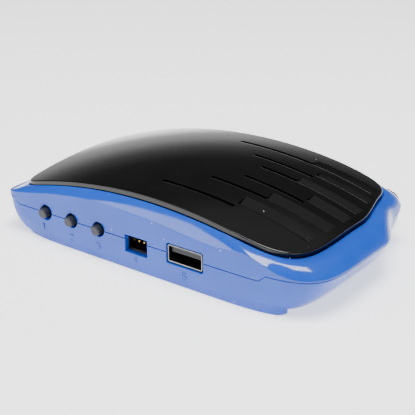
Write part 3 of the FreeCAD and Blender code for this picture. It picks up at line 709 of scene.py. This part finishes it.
def surface(name, dark, light, rough=(0.3, 0.4), scale=300.0, metal=0.0, bump=0.0, bump_scale=2500.0,
            specks=0.0, ior=1.5, coat=0.0, stretch=(1, 1, 1), detail=4.0, coat_rough=0.1):
    """Procedural finish: two near tones mixed by noise, with roughness and fine relief of their own."""
    m, nt, b = mat(name)
    N = nt.nodes.new
    L = nt.links.new
    tc = N("ShaderNodeTexCoord")
    mp = N("ShaderNodeMapping")
    mp.inputs["Scale"].default_value = stretch
    L(tc.outputs["Object"], mp.inputs["Vector"])
    n1 = N("ShaderNodeTexNoise")
    n1.inputs["Scale"].default_value = scale
    n1.inputs["Detail"].default_value = detail
    L(mp.outputs[0], n1.inputs["Vector"])
    ramp = N("ShaderNodeValToRGB")
    ramp.color_ramp.elements[0].position = 0.32
    ramp.color_ramp.elements[1].position = 0.68
    ramp.color_ramp.elements[0].color = (*lin(dark), 1)
    ramp.color_ramp.elements[1].color = (*lin(light), 1)
    L(n1.outputs["Fac"], ramp.inputs[0])
    colour = ramp.outputs[0]
    mr = N("ShaderNodeMapRange")
    mr.inputs["To Min"].default_value, mr.inputs["To Max"].default_value = rough
    n2 = N("ShaderNodeTexNoise")
    n2.inputs["Scale"].default_value = scale * 0.37
    n2.inputs["Detail"].default_value = 3.0
    L(mp.outputs[0], n2.inputs["Vector"])
    L(n2.outputs["Fac"], mr.inputs["Value"])
    rough_out = mr.outputs[0]
    if specks:
        v = N("ShaderNodeTexVoronoi")
        v.inputs["Scale"].default_value = 420.0
        v.inputs["Randomness"].default_value = 1.0
        L(tc.outputs["Object"], v.inputs["Vector"])
        near = N("ShaderNodeMath")
        near.operation = "LESS_THAN"
        near.inputs[1].default_value = 0.085
        L(v.outputs["Distance"], near.inputs[0])
        sep = N("ShaderNodeSeparateColor")
        L(v.outputs["Color"], sep.inputs[0])
        some = N("ShaderNodeMath")
        some.operation = "LESS_THAN"
        some.inputs[1].default_value = specks
        L(sep.outputs[0], some.inputs[0])
        both = N("ShaderNodeMath")
        both.operation = "MULTIPLY"
        L(near.outputs[0], both.inputs[0])
        L(some.outputs[0], both.inputs[1])
        half = N("ShaderNodeMath")
        half.operation = "MULTIPLY"
        half.inputs[1].default_value = 0.55
        L(both.outputs[0], half.inputs[0])
        mix = N("ShaderNodeMix")
        mix.data_type = "RGBA"
        L(half.outputs[0], mix.inputs["Factor"])
        L(colour, mix.inputs["A"])
        mix.inputs["B"].default_value = (0.8, 0.8, 0.8, 1)
        colour = mix.outputs["Result"]
    L(colour, b.inputs["Base Color"])
    L(rough_out, b.inputs["Roughness"])
    b.inputs["Metallic"].default_value = metal
    b.inputs["IOR"].default_value = ior
    b.inputs["Coat Weight"].default_value = coat
    b.inputs["Coat Roughness"].default_value = coat_rough
    if bump:
        n3 = N("ShaderNodeTexNoise")
        n3.inputs["Scale"].default_value = bump_scale
        n3.inputs["Detail"].default_value = 2.0
        L(mp.outputs[0], n3.inputs["Vector"])
        bp = N("ShaderNodeBump")
        bp.inputs["Strength"].default_value = 1.0
        bp.inputs["Distance"].default_value = bump
        L(n3.outputs["Fac"], bp.inputs["Height"])
        L(bp.outputs[0], b.inputs["Normal"])
    return m


BLUE = surface("blue_case", "1747B0", "1B4DB8", (0.10, 0.15), 90.0, bump=0.0000035, bump_scale=2600, specks=0.035, ior=1.52)
BLACK = surface("black_cover", "060606", "0A0A0B", (0.10, 0.16), 120.0, bump=0.0000012, bump_scale=2200, specks=0.02, ior=1.5)
FINISH = {
    "blue_case": BLUE,
    "black_cover": BLACK,
    "board": surface("board", "0E4A26", "14602F", (0.35, 0.5), 900.0, bump=0.00001),
    "screw_steel": surface("screw_steel", "8E9094", "B4B6BA", (0.25, 0.4), 700.0, metal=1.0),
    "black_matte": surface("black_matte", "0A0A0B", "141416", (0.45, 0.6), 800.0, bump=0.000006),
    "button_grey": surface("button_grey", "1D1D20", "29292C", (0.35, 0.48), 900.0, bump=0.000006, bump_scale=5000),
    "tin_plate": surface("tin_plate", "6A6C6E", "8C8E90", (0.24, 0.38), 600.0, metal=1.0),
    "nickel": surface("nickel", "A39E96", "CFCAC2", (0.16, 0.3), 700.0, metal=1.0),
    "gold_contact": surface("gold_contact", "B98A2E", "D9AC4B", (0.2, 0.3), 900.0, metal=1.0),
    "white_plastic": surface("white_plastic", "DAD8D2", "ECEAE4", (0.4, 0.5), 900.0),
    "chip_black": surface("chip_black", "151517", "222225", (0.5, 0.65), 1500.0),
    "heat_aluminium": surface("heat_aluminium", "8A8C90", "B0B2B6", (0.35, 0.5), 500.0, metal=1.0, stretch=(1, 8, 1)),
    "pad_grey": surface("pad_grey", "8A94A2", "9AA4B2", (0.7, 0.85), 900.0),
    "cap_sleeve": surface("cap_sleeve", "17191F", "262A33", (0.3, 0.4), 700.0),
    "ferrite": surface("ferrite", "2B2B2D", "3B3B3E", (0.6, 0.75), 1200.0),
}

SLOT_OF = {}
rec = frame["record"]
for sp in rec.get("subparts") or []:
    SLOT_OF[sp.get("node")] = sp.get("material_slot")
for n, o in NODES.items():
    s = SLOT_OF.get(n)
    if s not in FINISH:
        print("no slot for", n, s)
        s = "black_matte"
    o.data.materials.clear()
    o.data.materials.append(FINISH[s])


# ------------------------------------------------------------------ visual pieces
def stand_for(o, node, material):
    o.data.materials.clear()
    o.data.materials.append(material)
    for p in o.data.polygons:
        p.material_index = 0
    finish_mesh(o)
    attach(o, ROOT)
    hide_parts(node)


top = make("top_case_look", *top_shell())
posts = []
for (x, y) in CASE_SCREW:
    posts.append(rod([(7.0, 2.9), (float(dome(x, y)) - 2.9, 2.9)], (x, y, 0), "z", 32))
boolean(top, make("posts", *merged(*posts)), "UNION")
cut = wall_tools() + [rod([(6.0, 1.05), (14.2, 1.05)], (x, y, 0), "z", 24) for (x, y) in CASE_SCREW]
boolean(top, make("cut", *merged(*cut)), "DIFFERENCE")
stand_for(top, "top_case", BLUE)

bottom = make("bottom_case_look", *bottom_shell())
joined = [runner(-1), runner(1)]
for (x, y) in PCB_SCREW:
    joined.append(rod([(2.9, 3.0), (PCB_TOP - PCB_T, 3.0)], (x, y, 0), "z", 32))
for (x, y) in CASE_SCREW:
    joined.append(rod([(2.8, 3.2), (7.0, 3.2)], (x, y, 0), "z", 32))
boolean(bottom, make("join", *merged(*joined)), "UNION")
cut = wall_tools()
cut += [rod([(2.2, 1.05), (6.2, 1.05)], (x, y, 0), "z", 24) for (x, y) in PCB_SCREW]
cut += [rod([(-1, 2.3), (3.6, 2.3), (3.61, 1.35), (9, 1.35)], (x, y, 0), "z", 40) for (x, y) in CASE_SCREW]
for i in range(7):
    x = -18.0 + 6.0 * i
    cut.append(bar(lambda s: round_rect(x, 0.0, 1.8, 24.0, 0.85), [0.0, 4.2], "z"))
boolean(bottom, make("cut", *merged(*cut)), "DIFFERENCE")
for strokes in number_tools():
    boolean(bottom, make("cut", *merged(*strokes)), "DIFFERENCE")
stand_for(bottom, "bottom_case", BLUE)

cover = make("cover_look", *cover_shell())
for k, t in enumerate(slot_tools()):
    boolean(cover, make("cut", *t), "DIFFERENCE")
stand_for(cover, "cover", BLACK)

aer = make("aerial_connector_look", *aerial_solid())
boolean(aer, make("join", *merged(rod([(32.0, F_R - 0.44), (38.0, F_R - 0.44)], (F_X, 0, F_Z), "y", 96))), "UNION")
boolean(aer, make("join", *block(F_X - 5.2, F_X + 5.2, 27.8, 32.4, F_Z - 3.6, F_Z + 5.2)), "UNION")
boolean(aer, make("cut", *rod([(36.0, 3.55), (F_TIP - 0.3, 3.55), (F_TIP + 0.1, 3.95), (F_TIP + 3, 3.95)], (F_X, 0, F_Z), "y", 64)), "DIFFERENCE")
boolean(aer, make("cut", *rod([(20.0, 1.9), (50.0, 1.9)], (F_X, 0, F_Z), "y", 40)), "DIFFERENCE")
stand_for(aer, "aerial_connector", FINISH["nickel"])


# ------------------------------------------------------------------ studio
def floor_material():
    m, nt, b = mat("floor")
    N = nt.nodes.new
    L = nt.links.new
    tc = N("ShaderNodeTexCoord")
    n = N("ShaderNodeTexNoise")
    n.inputs["Scale"].default_value = 3.0
    L(tc.outputs["Object"], n.inputs["Vector"])
    r = N("ShaderNodeValToRGB")
    r.color_ramp.elements[0].color = (0.90, 0.90, 0.90, 1)
    r.color_ramp.elements[1].color = (0.93, 0.93, 0.93, 1)
    L(n.outputs["Fac"], r.inputs[0])
    L(r.outputs[0], b.inputs["Base Color"])
    L(r.outputs[0], b.inputs["Emission Color"])
    b.inputs["Emission Strength"].default_value = 1.3
    b.inputs["Roughness"].default_value = 0.9
    b.inputs["Specular IOR Level"].default_value = 0.0
    return m


me = bpy.data.meshes.new("floor")
g = 2.5
me.from_pydata([(-g, -g, 0), (g, -g, 0), (g, g, 0), (-g, g, 0)], [], [(0, 1, 2, 3)])
floor = bpy.data.objects.new("floor", me)
bpy.context.scene.collection.objects.link(floor)
me.materials.append(floor_material())


def area(name, loc, aim, sx, sy, power, colour=(1, 1, 1)):
    d = bpy.data.lights.new(name, "AREA")
    d.shape = "RECTANGLE"
    d.size, d.size_y = sx, sy
    d.energy = power
    d.color = colour
    o = bpy.data.objects.new(name, d)
    bpy.context.scene.collection.objects.link(o)
    o.location = loc
    o.rotation_euler = (Vector(aim) - Vector(loc)).to_track_quat("-Z", "Y").to_euler()
    return o


area("overhead", (0.10, -0.06, 0.70), (0.02, 0, 0), 0.42, 0.34, 9.0)
area("front_left", (-0.45, -0.75, 0.35), (0, 0, 0.01), 0.5, 0.35, 3.4)
area("right", (0.85, -0.2, 0.4), (0, 0, 0.01), 0.4, 0.4, 0.8)

world = bpy.data.worlds.new("studio")
bpy.context.scene.world = world
world.use_nodes = True
nt = world.node_tree
nt.nodes.clear()
wo = nt.nodes.new("ShaderNodeOutputWorld")
bg = nt.nodes.new("ShaderNodeBackground")
tc = nt.nodes.new("ShaderNodeTexCoord")
sp = nt.nodes.new("ShaderNodeSeparateXYZ")
cr = nt.nodes.new("ShaderNodeValToRGB")
nt.links.new(tc.outputs["Generated"], sp.inputs[0])
nt.links.new(sp.outputs["Z"], cr.inputs[0])
els = cr.color_ramp.elements
els[0].position, els[0].color = 0.0, (0.95, 0.95, 0.95, 1)
els[1].position, els[1].color = 1.0, (0.35, 0.35, 0.36, 1)
for p, c in ((0.10, 0.85), (0.22, 0.25), (0.34, 0.06), (0.62, 0.08), (0.75, 0.3)):
    e = els.new(p)
    e.color = (c, c, c, 1)
nt.links.new(cr.outputs[0], bg.inputs[0])
bg.inputs[1].default_value = 1.0
nt.links.new(bg.outputs[0], wo.inputs[0])

cd = bpy.data.cameras.new("camera")
cam = bpy.data.objects.new("camera", cd)
bpy.context.scene.collection.objects.link(cam)
cam.location = (0.192190, -0.261264, 0.144973)
cam.rotation_euler = (Vector((0, DY * MM, 0)) - Vector(cam.location)).to_track_quat("-Z", "Y").to_euler()
cd.lens = 89.37
cd.sensor_width = 36.0
cd.shift_x = -0.0110
cd.shift_y = 0.0645
cd.clip_start = 0.01
cd.clip_end = 20.0
bpy.context.scene.camera = cam
